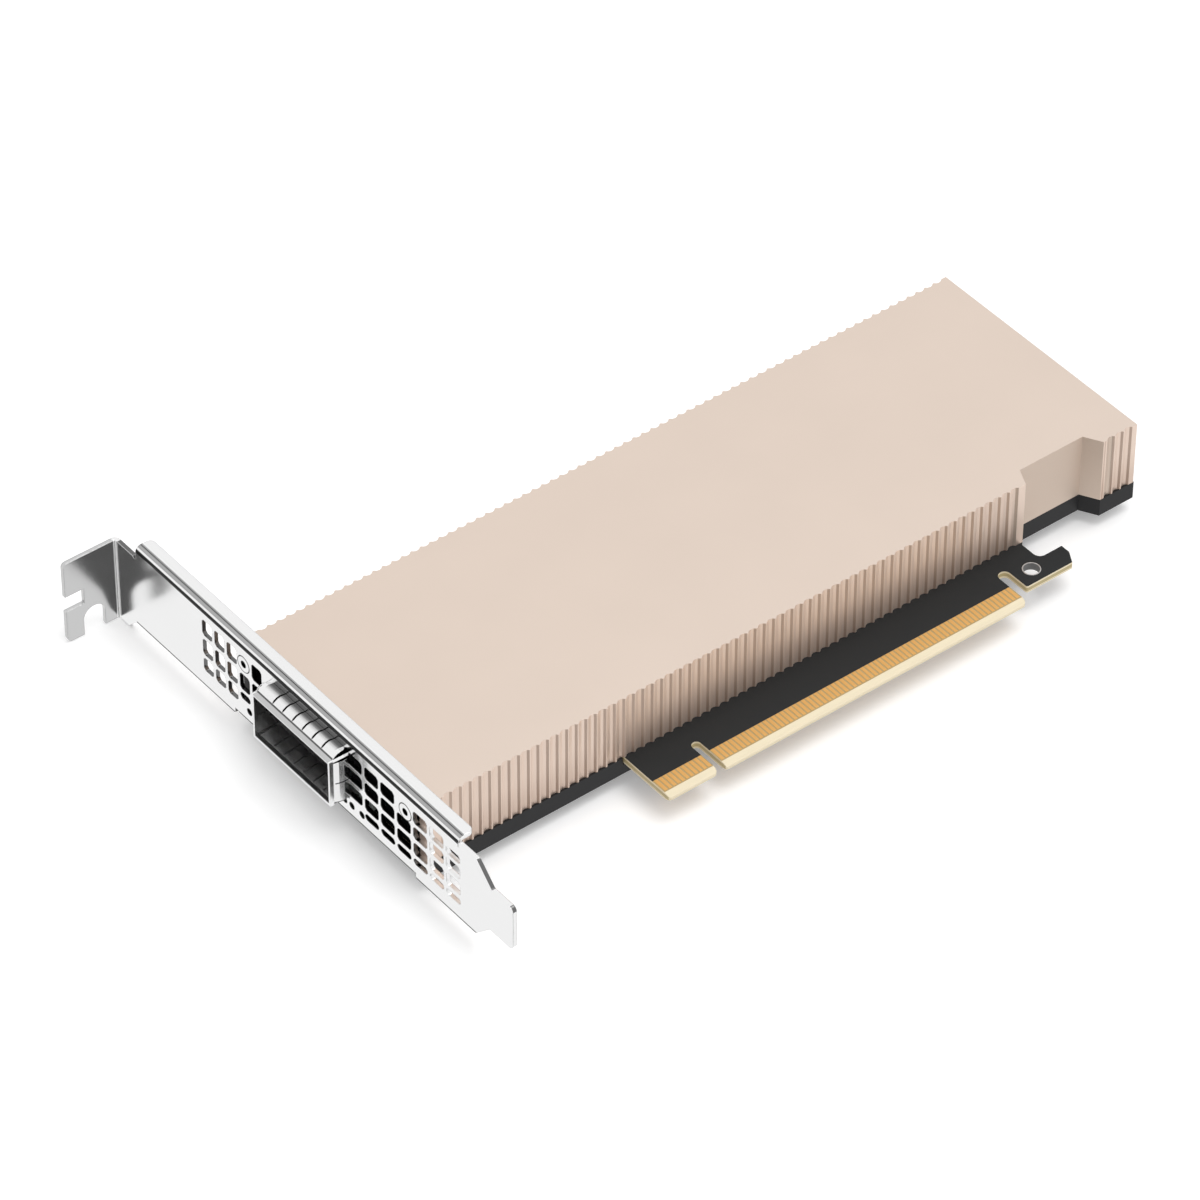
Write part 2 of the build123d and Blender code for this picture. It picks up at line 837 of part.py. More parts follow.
def chip_capacitors():
    """Capacitors in a row along each side of the main chip."""
    reach = chip_size / 2 + chip_cap_gap
    length, width, height = chip_cap_size
    steps = [chip_cap_pitch * (i - (chip_cap_count - 1) / 2) for i in range(chip_cap_count)]
    rows = [(chip_centre[0] + step, chip_centre[1] + side * reach) for step in steps for side in (-1, 1)]
    columns = [(chip_centre[0] + side * reach, chip_centre[1] + step) for step in steps for side in (-1, 1)]
    return chips((width, length, height), rows) + chips((length, width, height), columns)


def coupling_capacitors():
    places = [(coupling_first + coupling_pitch * i, coupling_y) for i in range(coupling_count)]
    return chips(coupling_size, places)


def underside_capacitors():
    """Small capacitors in a square grid below the main chip."""
    steps = [under_cap_pitch * (i - (under_cap_grid - 1) / 2) for i in range(under_cap_grid)]
    places = [(chip_centre[0] + a, chip_centre[1] + b) for a in steps for b in steps]
    return chips(under_cap_size, places, board_low - under_cap_size[2])


def status_leds():
    length = led_size[0]
    x = body_front + board_inset + fit_gap + length / 2
    return chips(led_size, [(x, y) for y in led_hole_y])


save("circuit_board", circuit_board())
save("edge_contacts_top", edge_contacts(0))
save("edge_contacts_bottom", edge_contacts(board_low - contact_thickness))
save("hook_hole_plating", hook_hole_plating())
save("heat_sink", heat_sink())
save("fin_pack", fin_pack())
save("back_plate", back_plate())
save("back_plate_screws", plate_screws())
save("bracket", bracket())
save("bracket_screws", bracket_screws())
save("cage_shell", cage_shell())
save("cage_spring_band", cage_spring_band())
save("cage_heat_plate", cage_heat_plate())
save("port_connector", port_connector())
save("port_contacts", port_connector_contacts())
save("status_leds", status_leds())
save("main_chip_substrate", chips((chip_size, chip_size, chip_thickness), [chip_centre]))
save("main_chip_lid", chips((lid_size, lid_size, lid_thickness), [chip_centre], chip_thickness))
save("thermal_pad", chips((lid_size, lid_size, fin_base_low - lid_top), [chip_centre], lid_top))
save("inductors", chips(inductor_size, [(inductor_x, y) for y in inductor_y]))
save("power_stages", chips(power_stage_size, [(power_stage_x, y) for y in inductor_y]))
save("bulk_capacitors", chips(bulk_size, [(bulk_x, y) for y in bulk_y]))
save("chip_capacitors", chip_capacitors())
save("coupling_capacitors", coupling_capacitors())
save("underside_capacitors", underside_capacitors())
save("flash_chip", chips(flash_size, [flash_place]))
save("oscillator", chips(oscillator_size, [oscillator_place]))
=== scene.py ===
import math

import bpy
from mathutils import Matrix, Vector

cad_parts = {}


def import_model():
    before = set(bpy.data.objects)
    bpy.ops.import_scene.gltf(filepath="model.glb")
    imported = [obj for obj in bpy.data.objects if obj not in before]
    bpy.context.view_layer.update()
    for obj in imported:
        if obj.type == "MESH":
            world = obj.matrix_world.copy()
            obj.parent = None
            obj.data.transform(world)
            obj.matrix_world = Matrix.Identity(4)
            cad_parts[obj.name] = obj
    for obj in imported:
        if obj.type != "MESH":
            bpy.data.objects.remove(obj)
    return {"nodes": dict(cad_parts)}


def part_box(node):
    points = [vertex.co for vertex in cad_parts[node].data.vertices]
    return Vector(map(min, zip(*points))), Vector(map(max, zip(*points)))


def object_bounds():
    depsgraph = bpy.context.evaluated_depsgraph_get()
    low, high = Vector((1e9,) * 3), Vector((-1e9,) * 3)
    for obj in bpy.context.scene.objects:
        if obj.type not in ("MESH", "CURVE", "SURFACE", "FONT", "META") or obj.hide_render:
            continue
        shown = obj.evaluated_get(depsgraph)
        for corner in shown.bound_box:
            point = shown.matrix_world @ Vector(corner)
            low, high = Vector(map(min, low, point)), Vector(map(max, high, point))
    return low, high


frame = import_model()
cad_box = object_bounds()
nodes = frame["nodes"]

MM = 0.001

# Card datums in the frame: bracket's front face, tip of the edge connector, board's component face
CARD = Vector((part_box("bracket_screws")[0].x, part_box("circuit_board")[0].y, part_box("heat_sink")[0].z))

# The photograph's camera, in a square picture of this many pixels
PICTURE = 1200
FOCAL_PIXELS = 6659.8
OPTICAL_CENTRE = (619.2, 584.8)
SENSOR = 36.0
CAMERA_PLACE = (-0.573787, -0.710623, 0.828750)
CAMERA_RIGHT = Vector((0.784331, -0.620327, 0.004448))
CAMERA_FORWARD = Vector((0.463362, 0.581071, -0.669068))

# Finishes, with painted shade, light and reflections, as linear colours
CHAMPAGNE = (0.71, 0.597, 0.515)
# Painted shade: the champagne darkened for the fin pack and heat plate inside the cover
CHAMPAGNE_IN_PAINTED_SHADE = tuple(c * 0.12 for c in CHAMPAGNE)
# Painted light: a brighter champagne for the cover's upright sides
FLUTE_PAINTED_LIGHT = (0.83, 0.68, 0.58)
# Painted shade on the walls of the bay
BAY_PAINTED_SHADE = (0.63, 0.515, 0.43)
# Painted shade beside each flute ridge and towards the board
GROOVE_PAINTED_SHADE = (0.47, 0.33, 0.255)
# Painted shade inside the cover
INNER_PAINTED_SHADE = (0.035, 0.033, 0.032)
NICKEL = (0.88, 0.88, 0.88)
# Darker sheared edges of the bracket, with painted shade in the vents and at the shoulder
SHEARED_EDGE_AND_PAINTED_SHADE = (0.16, 0.16, 0.16)
# Painted shade inside the cage
CAGE_PAINTED_SHADE = (0.75, 0.75, 0.75)
# Painted shade on the cage's lip
LIP_PAINTED_SHADE = (0.55, 0.55, 0.55)
# Painted dark lines: reflections along the bend, reflection and contact shadow along the lower rim
PAINTED_DARK_LINE = (0.03, 0.03, 0.03)
# Painted grey reflection band in the bend
BEND_PAINTED_REFLECTION = (0.4, 0.4, 0.4)
# Painted reflection that darkens the tab
TAB_PAINTED_REFLECTION = (0.58, 0.58, 0.58)
# Painted deep shade: slits between the fingers, the cage under the spring band, and the screw heads' recess
# and rim
PAINTED_DEEP_SHADE = (0.01, 0.01, 0.01)
# Painted shade over the top fingers and in the lip's groove
FINGER_PAINTED_SHADE = (0.12, 0.12, 0.12)
TIN = (0.62, 0.62, 0.62)
# Grey of the plated hook hole wall, darkened as painted shade
HOLE_WALL_AND_PAINTED_SHADE = (0.2, 0.2, 0.2)
BLACK_ANODISED = (0.012, 0.012, 0.013)
SOLDER_MASK = (0.0135, 0.016, 0.0175)
LAMINATE = (0.86, 0.76, 0.55)
LAMINATE_CORE = (0.50, 0.41, 0.22)
# Bare laminate between the edge contacts, darkened as painted shade between them
BARE_TONGUE_AND_PAINTED_SHADE = (0.47, 0.35, 0.17)
GOLD = (0.80, 0.47, 0.155)
BLACK_PLASTIC = (0.02, 0.02, 0.02)
CERAMIC = (0.30, 0.22, 0.15)
PAD_GREY = (0.20, 0.22, 0.25)
LENS = (0.9, 0.95, 0.9)
LENS_CLOUD = (0.75, 0.8, 0.75)
WHITE = (1.0, 1.0, 1.0)
MASK_GLOSS = 0.25

# Places on the card, in millimetres from its datums, and rows on it as a first place, a pitch
# and the share of each repeat that a line takes
# Boxes of painted shade inside the cover and on the bay walls
COVER_INSIDE = ((-1, 138), (15.3, 65.7), (-1, 13.15))
COVER_REAR_INSIDE = ((161.5, 169), (15.3, 65.7), (-1, 13.15))
COVER_FAR_END = ((-1, 4), (64.0, 67.4), (-1, 13.15))
COVER_BAY = ((137.8, 161.7), (13, 40), (-1, 14.5))
COVER_FAR_LIP = ((-1, 1.6), (64.0, 68.3), (-1, 13.15))
BOARD_CORE = ((-1, 170), (0.4, 80), (-1.17, -0.4))
TONGUE_FACE = ((40, 130.5), (-1, 5.05), (-3, 1))
HOOK_HOLE = ((134.7, 138.15), (4.6, 8.0), (-3, 1))
# Painted shade inside the cage and, under the spring band, in front of the bracket
CAGE_INSIDE = ((-3.7, 68), (34.6, 57.3), (1.3, 11.4))
CAGE_FRONT = ((-3.2, 0.4), (33, 59), (-1, 13))
# Sheared edges that take the darker edge colour with its painted shade
VENT_WALLS = ((0.03, 0.83), (14, 105), (-8, 13))
SHOULDER_EDGE = ((0.03, 0.83), (-7.6, -3.2), (10.2, 14.5))
TONGUE_CORNER = ((0.03, 0.83), (-14, -12.6), (9.3, 11))
# Painted dark line along the lower rim of the bracket
LOWER_LINES = (
    ((-1, 1), (-2.9, 14.7), (-4, -3.65)),
    ((-1, 1), (14.7, 69.0), (-4, -2.65)),
    ((-1, 1), (69.0, 99.9), (-4, -3.65)),
)
# Painted dark reflection lines and a painted grey reflection band in the bend, and the tab's painted
# reflection
BEND_LINES = (
    ((-1, 0.6), (2.2, 99.1), (13.98, 14.7)),
    ((1.1, 1.28), (2.2, 99.1), (15, 16)),
)
BEND_BAND = ((0.5, 1.6), (2.2, 99.1), (15, 16))
TAB = ((-12, -0.5), (104, 107), (-8, 13))
# Boxes for the painted shade on the lip, in its groove and over the top fingers
LIP = ((-5, -3.2), (34.7, 57.2), (11.4, 14))
LIP_GROOVE = ((-3.2, -2.95), (34.7, 57.2), (11.2, 14))
TOP_FINGERS = ((-2.9, 0.2), (35.5, 56.5), (10.9, 14))
FINGERS_FADE = (-2.1, -0.5)
# Flute row, and the painted shade beside each ridge and towards the board
FLUTE_FIRST = 166.4
FLUTE_PITCH = 2.152
GROOVE_LINE = (0.76, 0.93)
GROOVE_LINE_SHARE = 0.55
GROOVE_FADE = (9.0, 0.0)
GROOVE_FOOT_SHARE = 0.4
# Painted black slits between the top fingers
SLIT_MARKS = ((-2.7, -0.6), (37.8, 53.2), (11.2, 14))
SLIT_PITCH = 2.93
SLIT_FIRST = 36.71
SLIT_LINE = (0.43, 0.57)
# Screw heads' painted shade in the recess and at the rim
SCREW_CENTRES = ((65.8, 10.3), (17.5, 10.15))
SCREW_RECESS = (0.0, 0.78)
SCREW_RIM = (1.66, 3.0)

# Limits of how far a face leans along an axis
EDGE_ON = 0.3
LEVEL = 0.985

# Relief and clouding of the surfaces, in metres and in cells to a metre
RELIEF = 0.00002
FINE_EDGE = 0.0001
CLOUD_SCALE = 60.0
BEVEL_SAMPLES = 4

# Studio
FLOOR_SIZE = 6.0
FLOOR_GAP = 0.0002
FLOOR_SHADE = 0.9
FLOOR_LIFT = 0.24
WORLD_LEVEL = 0.78
TOP_LAMP_PLACE = (0.2, -0.25, 1.2)
TOP_LAMP_SIZE = (0.8, 0.8)
TOP_LAMP_POWER = 6.0
FLAG_SIDE = (-0.463, -0.581, -0.669)
FLAG_REACH = (8, 24)  # degrees to its core and to its rim
FLAG_SHADE = (0.07, 0.07, 0.07)


# Shader helpers


def new_material(name):
    """Empty node material with its Principled shader."""
    material = bpy.data.materials.new(name)
    material.use_nodes = True
    tree = material.node_tree
    shader = tree.nodes["Principled BSDF"]
    return material, tree, shader


def rgba(colour, strength=1.0):
    return (*[c * strength for c in colour], 1.0)


def object_coordinates(tree):
    """Places in the frame, in metres."""
    return tree.nodes.new("ShaderNodeTexCoord").outputs["Object"]


def noise(tree, scale, detail=2.0, roughness=0.5, stretch=None):
    """Value of a noise with this many cells to a metre, stretched along the axes if asked."""
    texture = tree.nodes.new("ShaderNodeTexNoise")
    texture.inputs["Scale"].default_value = scale
    texture.inputs["Detail"].default_value = detail
    texture.inputs["Roughness"].default_value = roughness
    source = object_coordinates(tree)
    if stretch:
        mapping = tree.nodes.new("ShaderNodeMapping")
        mapping.inputs["Scale"].default_value = stretch
        tree.links.new(source, mapping.inputs["Vector"])
        source = mapping.outputs["Vector"]
    tree.links.new(source, texture.inputs["Vector"])
    return texture.outputs["Fac"]


def between(tree, value, low, high):
    """Maps a value from 0..1 to a range."""
    node = tree.nodes.new("ShaderNodeMapRange")
    node.inputs["To Min"].default_value = low
    node.inputs["To Max"].default_value = high
    tree.links.new(value, node.inputs["Value"])
    return node.outputs["Result"]


def mix_colours(tree, factor, first, second):
    """Blend of two colours, each a constant or a socket."""
    node = tree.nodes.new("ShaderNodeMix")
    node.data_type = "RGBA"
    tree.links.new(factor, node.inputs["Factor"])
    for socket, colour in (("A", first), ("B", second)):
        place = [s for s in node.inputs if s.name == socket and s.type == "RGBA"][0]
        if isinstance(colour, tuple):
            place.default_value = rgba(colour)
        else:
            tree.links.new(colour, place)
    return [s for s in node.outputs if s.type == "RGBA"][0]


def compare(tree, value, operation, limit):
    """1 where the value passes the limit, 0 elsewhere."""
    node = tree.nodes.new("ShaderNodeMath")
    node.operation = operation
    node.inputs[1].default_value = limit
    tree.links.new(value, node.inputs[0])
    return node.outputs["Value"]


def card_place(tree):
    """Sockets for the place on the card, in millimetres from its datums."""
    scaled = tree.nodes.new("ShaderNodeVectorMath")
    scaled.operation = "MULTIPLY_ADD"
    scaled.inputs[1].default_value = [1 / MM] * 3
    scaled.inputs[2].default_value = -CARD / MM
    tree.links.new(object_coordinates(tree), scaled.inputs[0])
    parts = tree.nodes.new("ShaderNodeSeparateXYZ")
    tree.links.new(scaled.outputs["Vector"], parts.inputs["Vector"])
    return [parts.outputs[axis] for axis in "XYZ"]


def product(tree, first, second):
    node = tree.nodes.new("ShaderNodeMath")
    node.operation = "MULTIPLY"
    tree.links.new(first, node.inputs[0])
    tree.links.new(second, node.inputs[1])
    return node.outputs["Value"]


def total(tree, *values):
    result = values[0]
    for value in values[1:]:
        node = tree.nodes.new("ShaderNodeMath")
        tree.links.new(result, node.inputs[0])
        tree.links.new(value, node.inputs[1])
        result = node.outputs["Value"]
    return result


def band(tree, value, reach):
    """1 between two limits, 0 outside."""
    above = compare(tree, value, "GREATER_THAN", reach[0])
    return product(tree, above, compare(tree, value, "LESS_THAN", reach[1]))


def fade(tree, value, reach):
    """0 at the first limit, rising smoothly to 1 at the second."""
    node = tree.nodes.new("ShaderNodeMapRange")
    node.interpolation_type = "SMOOTHSTEP"
    node.inputs["From Min"].default_value, node.inputs["From Max"].default_value = reach
    tree.links.new(value, node.inputs["Value"])
    return node.outputs["Result"]


def phase(tree, place, first, pitch):
    """How far a place is through the repeat of a row, from 0 to 1."""
    count = tree.nodes.new("ShaderNodeMath")
    count.operation = "MULTIPLY_ADD"
    count.inputs[1].default_value = 1 / pitch
    count.inputs[2].default_value = -first / pitch
    tree.links.new(place, count.inputs[0])
    share = tree.nodes.new("ShaderNodeMath")
    share.operation = "FRACT"
    tree.links.new(count.outputs["Value"], share.inputs[0])
    return share.outputs["Value"]


def inside_box(tree, ranges):
    """1 inside a box on the card, 0 outside."""
    inside = [band(tree, place, reach) for place, reach in zip(card_place(tree), ranges)]
    return product(tree, product(tree, inside[0], inside[1]), inside[2])


def add_bump(tree, shader, height, strength, distance, edge_radius=0.0):
    """Fine relief, over edges that are softened by a small radius."""
    bump = tree.nodes.new("ShaderNodeBump")
    bump.inputs["Strength"].default_value = strength
    bump.inputs["Distance"].default_value = distance
    tree.links.new(height, bump.inputs["Height"])
    if edge_radius:
        soft = tree.nodes.new("ShaderNodeBevel")
        soft.samples = BEVEL_SAMPLES
        soft.inputs["Radius"].default_value = edge_radius
        tree.links.new(soft.outputs["Normal"], bump.inputs["Normal"])
    tree.links.new(bump.outputs["Normal"], shader.inputs["Normal"])


# Materials


def base_colour(shader):
    """The socket that colours a shader so far."""
    return shader.inputs["Base Color"].links[0].from_socket


def paint(tree, shader, factor, colour):
    """Another colour, where the factor is 1."""
    mixed = mix_colours(tree, factor, base_colour(shader), colour)
    tree.links.new(mixed, shader.inputs["Base Color"])


def darken_inside(material, box, shade):
    """Darker colour inside a box on the card: painted shade where little light gets in, and painted
    reflections on the bracket.
    """
    tree = material.node_tree
    paint(tree, tree.nodes["Principled BSDF"], inside_box(tree, box), shade)


def metal(
    name,
    colour,
    roughness,
    spread,
    grain_scale,
    grain_strength,
    stretch=None,
    edge=0.00015,
    tint=0.95,
    metallic=1.0,
):
    """Metal with a fine grain in its relief, its gloss and, faintly, its colour."""
    material, tree, shader = new_material(name)
    shader.inputs["Metallic"].default_value = metallic
    grain = noise(tree, grain_scale, detail=4.0, roughness=0.6, stretch=stretch)
    cloud = noise(tree, CLOUD_SCALE)
    darker = tuple(c * tint for c in colour)
    tree.links.new(mix_colours(tree, cloud, darker, colour), shader.inputs["Base Color"])
    tree.links.new(between(tree, grain, roughness - spread, roughness + spread), shader.inputs["Roughness"])
    add_bump(tree, shader, grain, grain_strength, RELIEF, edge)
    return material


def plastic(name, colour, roughness, spread=0.06, tint=0.8):
    """Moulded plastic with a fine matt grain."""
    material, tree, shader = new_material(name)
    grain = noise(tree, 6000.0, detail=3.0, roughness=0.6)
    darker = tuple(c * tint for c in colour)
    tree.links.new(mix_colours(tree, grain, darker, colour), shader.inputs["Base Color"])
    tree.links.new(between(tree, grain, roughness - spread, roughness + spread), shader.inputs["Roughness"])
    add_bump(tree, shader, grain, strength=0.15, distance=RELIEF, edge_radius=FINE_EDGE)
    return material


def steepness(tree, axis):
    """How far a face leans along an axis, 1 where it faces along it and 0 where it stands edge-on."""
    normal = tree.nodes.new("ShaderNodeSeparateXYZ")
    tree.links.new(tree.nodes.new("ShaderNodeNewGeometry").outputs["True Normal"], normal.inputs["Vector"])
    size = tree.nodes.new("ShaderNodeMath")
    size.operation = "ABSOLUTE"
    tree.links.new(normal.outputs[axis], size.inputs[0])
    return size.outputs["Value"]


def cover_material():
    """Champagne anodised aluminium, with painted light on the upright sides, painted shade beside each
    flute ridge, towards the board and on the bay walls, and painted shade inside the cover.
    """
    material = metal(
        "champagne_anodised",
        CHAMPAGNE,
        roughness=0.46,
        spread=0.04,
        grain_scale=9000.0,
        grain_strength=0.2,
        edge=FINE_EDGE,
        metallic=0.65,
    )
    tree = material.node_tree
    # Painted light on the upright sides, with painted shade beside each ridge, towards the board and on the
    # bay walls
    upright = compare(tree, steepness(tree, "Z"), "LESS_THAN", EDGE_ON)
    along, _, height = card_place(tree)
    line = band(tree, phase(tree, along, FLUTE_FIRST, FLUTE_PITCH), GROOVE_LINE)
    line = between(tree, line, 0.0, GROOVE_LINE_SHARE)
    foot = between(tree, fade(tree, height, GROOVE_FADE), 0.0, GROOVE_FOOT_SHARE)
    groove = total(tree, line, foot)
    flutes = mix_colours(tree, groove, FLUTE_PAINTED_LIGHT, GROOVE_PAINTED_SHADE)
    sides = mix_colours(tree, inside_box(tree, COVER_BAY), flutes, BAY_PAINTED_SHADE)
    paint(tree, tree.nodes["Principled BSDF"], upright, sides)
    # Painted shade inside the cover, where little light gets in
    for box in (COVER_INSIDE, COVER_REAR_INSIDE, COVER_FAR_END, COVER_FAR_LIP):
        darken_inside(material, box, INNER_PAINTED_SHADE)
    return material


def bracket_material():
    """Bright nickel, with darker sheared edges that carry painted shade in the vents and at the shoulder, a
    painted grey reflection band in the bend, a tab darkened by painted reflection, and painted dark lines
    along the lower rim and the bend.
    """
    material = metal(
        "bright_nickel",
        NICKEL,
        roughness=0.2,
        spread=0.02,
        grain_scale=700.0,
        grain_strength=0.005,
        edge=0.0003,
        tint=0.98,
    )
    tree = material.node_tree
    shader = tree.nodes["Principled BSDF"]
    edge_on = compare(tree, steepness(tree, "X"), "LESS_THAN", EDGE_ON)
    # Sheared edges darkened, with painted shade in the vents and at the shoulder
    for box in (VENT_WALLS, SHOULDER_EDGE, TONGUE_CORNER):
        paint(tree, shader, product(tree, inside_box(tree, box), edge_on), SHEARED_EDGE_AND_PAINTED_SHADE)
    # Painted reflections: a grey band in the bend, a darker tab, and dark lines along the lower rim and the
    # bend
    darken_inside(material, BEND_BAND, BEND_PAINTED_REFLECTION)
    darken_inside(material, TAB, TAB_PAINTED_REFLECTION)
    for box in (*LOWER_LINES, *BEND_LINES):
        darken_inside(material, box, PAINTED_DARK_LINE)
    return material


def spring_material():
    """Bright spring strip, with painted shade inside the cage, on the lip and in its groove, painted shade
    over the top fingers towards the bracket, and painted black slits.
    """
    spring = metal(
        "spring_strip",
        NICKEL,
        roughness=0.2,
        spread=0.04,
        grain_scale=2500.0,
        grain_strength=0.03,
        edge=FINE_EDGE,
    )
    # Painted shade inside the cage, on the lip and in the lip's groove
    for box, shade in ((CAGE_INSIDE, CAGE_PAINTED_SHADE), (LIP, LIP_PAINTED_SHADE), (LIP_GROOVE, FINGER_PAINTED_SHADE)):
        darken_inside(spring, box, shade)
    tree = spring.node_tree
    shader = tree.nodes["Principled BSDF"]
    along, across, _ = card_place(tree)
    # Painted shade fading over the top fingers towards the bracket
    shaded = product(tree, fade(tree, along, FINGERS_FADE), inside_box(tree, TOP_FINGERS))
    paint(tree, shader, shaded, FINGER_PAINTED_SHADE)
    # Painted black slits between the fingers
    slit = band(tree, phase(tree, across, SLIT_FIRST, SLIT_PITCH), SLIT_LINE)
    paint(tree, shader, product(tree, slit, inside_box(tree, SLIT_MARKS)), PAINTED_DEEP_SHADE)
    return spring


def around_screws(tree, reach):
    """1 where the distance from a bracket screw's axis is within a range, 0 elsewhere."""
    _, across, height = card_place(tree)
    place = tree.nodes.new("ShaderNodeCombineXYZ")
    tree.links.new(across, place.inputs["Y"])
    tree.links.new(height, place.inputs["Z"])
    rings = []
    for centre in SCREW_CENTRES:
        away = tree.nodes.new("ShaderNodeVectorMath")
        away.operation = "DISTANCE"
        away.inputs[1].default_value = (0, *centre)
        tree.links.new(place.outputs["Vector"], away.inputs[0])
        rings.append(band(tree, away.outputs["Value"], reach))
    return total(tree, *rings)


def nickel_plate(name):
    return metal(name, NICKEL, roughness=0.25, spread=0.04, grain_scale=3000.0, grain_strength=0.1)


def screw_material():
    """Nickel screws, with painted shade in the recess and at the rim of the head."""
    material = nickel_plate("screw_nickel")
    tree = material.node_tree
    # Painted shade in the recess and at the rim of each head
    for reach in (SCREW_RECESS, SCREW_RIM):
        paint(tree, tree.nodes["Principled BSDF"], around_screws(tree, reach), PAINTED_DEEP_SHADE)
    return material


def board_material():
    """Black solder mask on both faces, bare laminate on the cut edges and between the edge contacts, that
    between the contacts darkened as painted shade, and painted shade on the hook hole's plated grey wall.
    """
    material, tree, shader = new_material("board_laminate")
    is_edge = compare(tree, steepness(tree, "Z"), "LESS_THAN", LEVEL)
    layers = noise(tree, 900.0, detail=3.0, roughness=0.6, stretch=(0.3, 0.3, 9.0))
    laminate = mix_colours(tree, layers, tuple(c * 0.88 for c in LAMINATE), LAMINATE)
    laminate = mix_colours(tree, inside_box(tree, BOARD_CORE), laminate, LAMINATE_CORE)
    # Hook hole's wall: plated grey, darkened as painted shade
    laminate = mix_colours(tree, inside_box(tree, HOOK_HOLE), laminate, HOLE_WALL_AND_PAINTED_SHADE)
    # Bare laminate between the contacts, darkened as painted shade
    face = mix_colours(tree, inside_box(tree, TONGUE_FACE), SOLDER_MASK, BARE_TONGUE_AND_PAINTED_SHADE)
    tree.links.new(mix_colours(tree, is_edge, face, laminate), shader.inputs["Base Color"])
    grain = noise(tree, 3000.0, detail=3.0, roughness=0.6)
    tree.links.new(between(tree, grain, 0.42, 0.55), shader.inputs["Roughness"])
    shader.inputs["Specular IOR Level"].default_value = MASK_GLOSS
    add_bump(tree, shader, grain, strength=0.1, distance=RELIEF)
    return material


def lens_material():
    """Clear lens, faintly clouded."""
    material, tree, shader = new_material("led_lens")
    cloud = mix_colours(tree, noise(tree, 2000.0), LENS_CLOUD, LENS)
    tree.links.new(cloud, shader.inputs["Base Color"])
    shader.inputs["Roughness"].default_value = 0.15
    shader.inputs["Transmission Weight"].default_value = 0.4
    return material


def dress(material, *names):
    """Give carried-over nodes their finish."""
    for name in names:
        mesh = nodes[name].data
        mesh.materials.clear()
        mesh.materials.append(material)


def dress_all():
    dress(cover_material(), "heat_sink")
    # Fin pack and heat plate in painted shade, their champagne darkened
    inner = metal("inner_anodised_painted_shade", CHAMPAGNE_IN_PAINTED_SHADE, 0.5, 0.05, grain_scale=9000.0, grain_strength=0.2)
    dress(inner, "fin_pack", "cage_heat_plate")
    dress(bracket_material(), "bracket")
    dress(screw_material(), "bracket_screws")
    dress(nickel_plate("plate_screw_nickel"), "back_plate_screws")
    cage = metal("cage_sheet", TIN, 0.3, 0.05, grain_scale=1500.0, grain_strength=0.08)
    # Painted shade under the spring band, inside the cage and on the lip
    for box, shade in ((CAGE_FRONT, PAINTED_DEEP_SHADE), (CAGE_INSIDE, CAGE_PAINTED_SHADE), (LIP, LIP_PAINTED_SHADE)):
        darken_inside(cage, box, shade)
    dress(cage, "cage_shell")
    dress(spring_material(), "cage_spring_band")
    tin = metal("tin_plate", TIN, 0.4, 0.06, grain_scale=4000.0, grain_strength=0.15)
    dress(tin, "hook_hole_plating", "main_chip_lid", "oscillator")
    gold = metal(
        "hard_gold",
        GOLD,
        roughness=0.4,
        spread=0.05,
        grain_scale=2500.0,
        grain_strength=0.06,
        stretch=(1.0, 0.15, 1.0),
        edge=0.00002,
        metallic=0.7,
    )
    dress(gold, "edge_contacts_top", "edge_contacts_bottom", "port_contacts")
    plate = metal(
        "black_anodised",
        BLACK_ANODISED,
        roughness=0.5,
        spread=0.05,
        grain_scale=8000.0,
        grain_strength=0.2,
        tint=0.85,
        metallic=0.0,
    )
    plate.node_tree.nodes["Principled BSDF"].inputs["Specular IOR Level"].default_value = MASK_GLOSS
    dress(plate, "back_plate")
    dress(board_material(), "circuit_board", "main_chip_substrate")
    moulded = plastic("moulded_black", BLACK_PLASTIC, 0.45)
    dress(moulded, "port_connector", "inductors", "power_stages", "bulk_capacitors", "flash_chip")
    ceramic = plastic("fired_ceramic", CERAMIC, 0.4)
    dress(ceramic, "chip_capacitors", "coupling_capacitors", "underside_capacitors")
    dress(plastic("gap_filler", PAD_GREY, 0.7), "thermal_pad")
    dress(lens_material(), "status_leds")


# Studio


def aim(obj, place, right, forward):
    """Stand an object at a place, looking along a direction."""
    forward = Vector(forward).normalized()
    right = Vector(right).normalized()
    up = right.cross(forward)
    axes = Matrix((right, up, -forward)).transposed()
    obj.matrix_world = Matrix.Translation(Vector(place)) @ axes.to_4x4()


def camera():
    data = bpy.data.cameras.new("camera")
    data.sensor_width = SENSOR
    data.lens = FOCAL_PIXELS / PICTURE * SENSOR
    data.shift_x = 0.5 - OPTICAL_CENTRE[0] / PICTURE
    data.shift_y = OPTICAL_CENTRE[1] / PICTURE - 0.5
    data.clip_start = 0.01
    data.clip_end = 20.0
    obj = bpy.data.objects.new("camera", data)
    bpy.context.scene.collection.objects.link(obj)
    aim(obj, CAMERA_PLACE, CAMERA_RIGHT, CAMERA_FORWARD)
    bpy.context.scene.camera = obj


def softbox(name, place, target, size, power):
    """Rectangular studio lamp that faces a point."""
    data = bpy.data.lights.new(name, "AREA")
    data.shape = "RECTANGLE"
    data.size, data.size_y = size
    data.energy = power
    obj = bpy.data.objects.new(name, data)
    bpy.context.scene.collection.objects.link(obj)
    forward = Vector(target) - Vector(place)
    aim(obj, place, forward.cross(Vector((0, 0, 1))), forward)


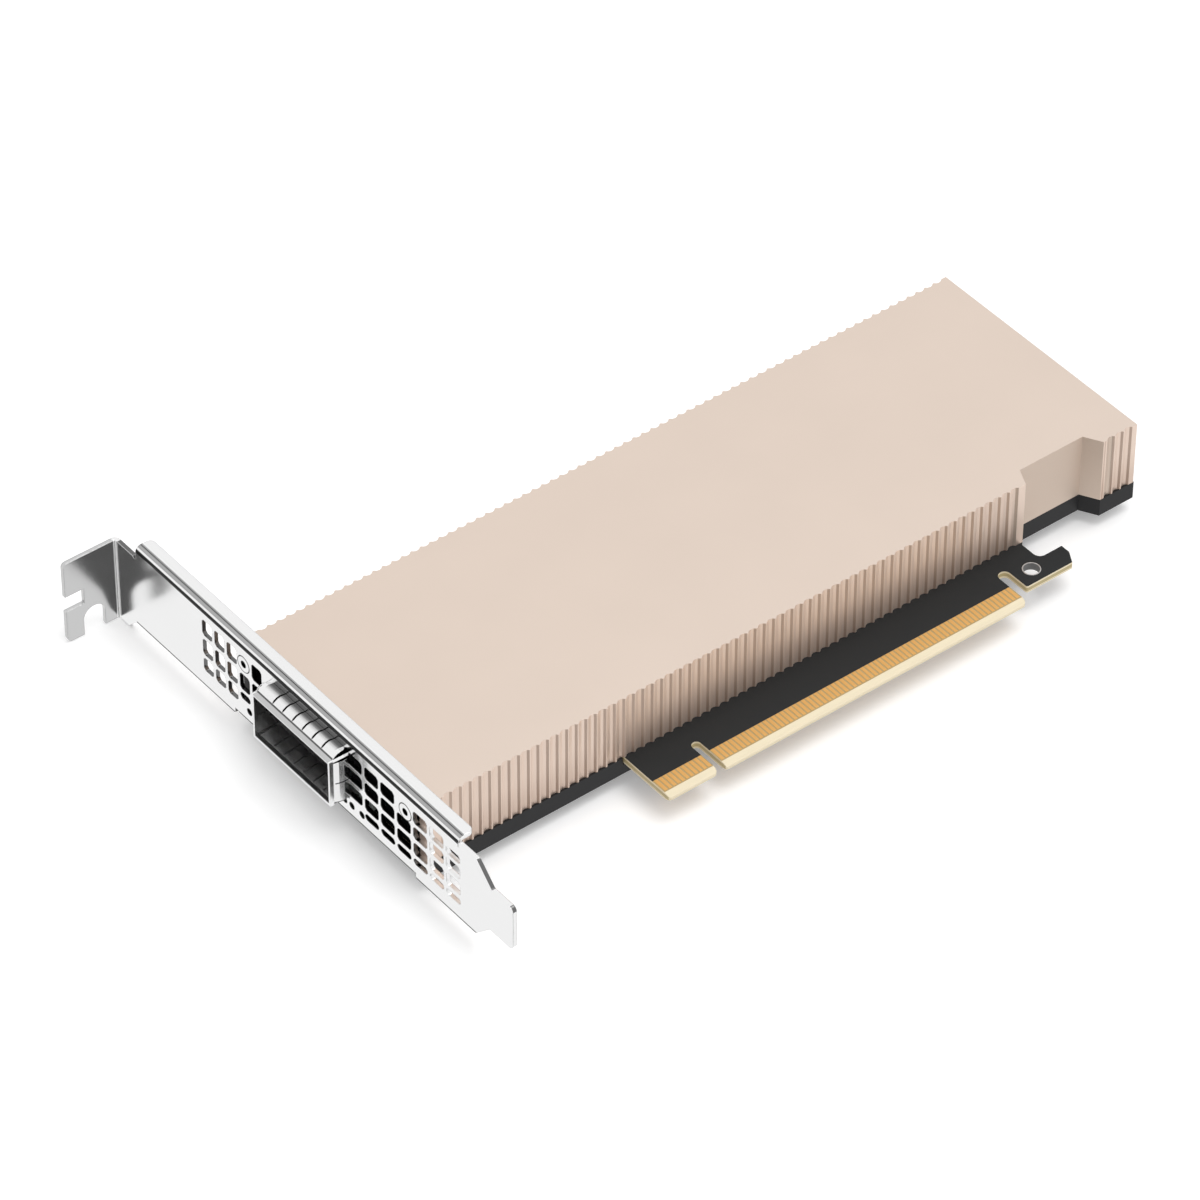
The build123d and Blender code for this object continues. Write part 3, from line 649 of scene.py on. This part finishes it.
def floor():
    """Pale floor that keeps the card's shadow and shows as white."""
    half = FLOOR_SIZE / 2
    mesh = bpy.data.meshes.new("floor")
    corners = [(-half, -half, 0), (half, -half, 0), (half, half, 0), (-half, half, 0)]
    mesh.from_pydata(corners, [], [(0, 1, 2, 3)])
    obj = bpy.data.objects.new("floor", mesh)
    bpy.context.scene.collection.objects.link(obj)
    obj.location.z = cad_box[0][2] - FLOOR_GAP
    obj.visible_glossy = False
    material, tree, shader = new_material("floor_white")
    shader.inputs["Base Color"].default_value = rgba(WHITE, FLOOR_SHADE)
    shader.inputs["Roughness"].default_value = 0.9
    shader.inputs["Specular IOR Level"].default_value = 0.0
    shader.inputs["Emission Color"].default_value = rgba(WHITE)
    camera_ray = tree.nodes.new("ShaderNodeLightPath").outputs["Is Camera Ray"]
    tree.links.new(between(tree, camera_ray, 0.0, FLOOR_LIFT), shader.inputs["Emission Strength"])
    obj.data.materials.append(material)


def lobe(tree, direction, inner, outer):
    """1 within an angle of a direction and 0 beyond a wider one, in degrees."""
    view = tree.nodes.new("ShaderNodeTexCoord").outputs["Generated"]
    dot = tree.nodes.new("ShaderNodeVectorMath")
    dot.operation = "DOT_PRODUCT"
    dot.inputs[1].default_value = Vector(direction).normalized()
    tree.links.new(view, dot.inputs[0])
    edge = tree.nodes.new("ShaderNodeMapRange")
    edge.interpolation_type = "SMOOTHSTEP"
    edge.inputs["From Min"].default_value = math.cos(math.radians(outer))
    edge.inputs["From Max"].default_value = math.cos(math.radians(inner))
    tree.links.new(dot.outputs["Value"], edge.inputs["Value"])
    return edge.outputs["Result"]


def world():
    """White studio with one dark flag, which polished metal mirrors. The camera sees plain white."""
    scene_world = bpy.data.worlds.new("studio")
    scene_world.use_nodes = True
    tree = scene_world.node_tree
    background = tree.nodes["Background"]
    colour = mix_colours(tree, lobe(tree, FLAG_SIDE, *FLAG_REACH), WHITE, FLAG_SHADE)
    ray = tree.nodes.new("ShaderNodeLightPath").outputs
    colour = mix_colours(tree, ray["Is Camera Ray"], colour, WHITE)
    tree.links.new(colour, background.inputs["Color"])
    shown = total(tree, ray["Is Camera Ray"], ray["Is Glossy Ray"], ray["Is Transmission Ray"])
    tree.links.new(between(tree, shown, WORLD_LEVEL, 1.0), background.inputs["Strength"])
    bpy.context.scene.world = scene_world


def studio():
    camera()
    floor()
    world()
    softbox("top_softbox", TOP_LAMP_PLACE, (0, 0, 0), TOP_LAMP_SIZE, TOP_LAMP_POWER)
    bpy.context.scene.view_settings.view_transform = "Standard"


dress_all()
studio()
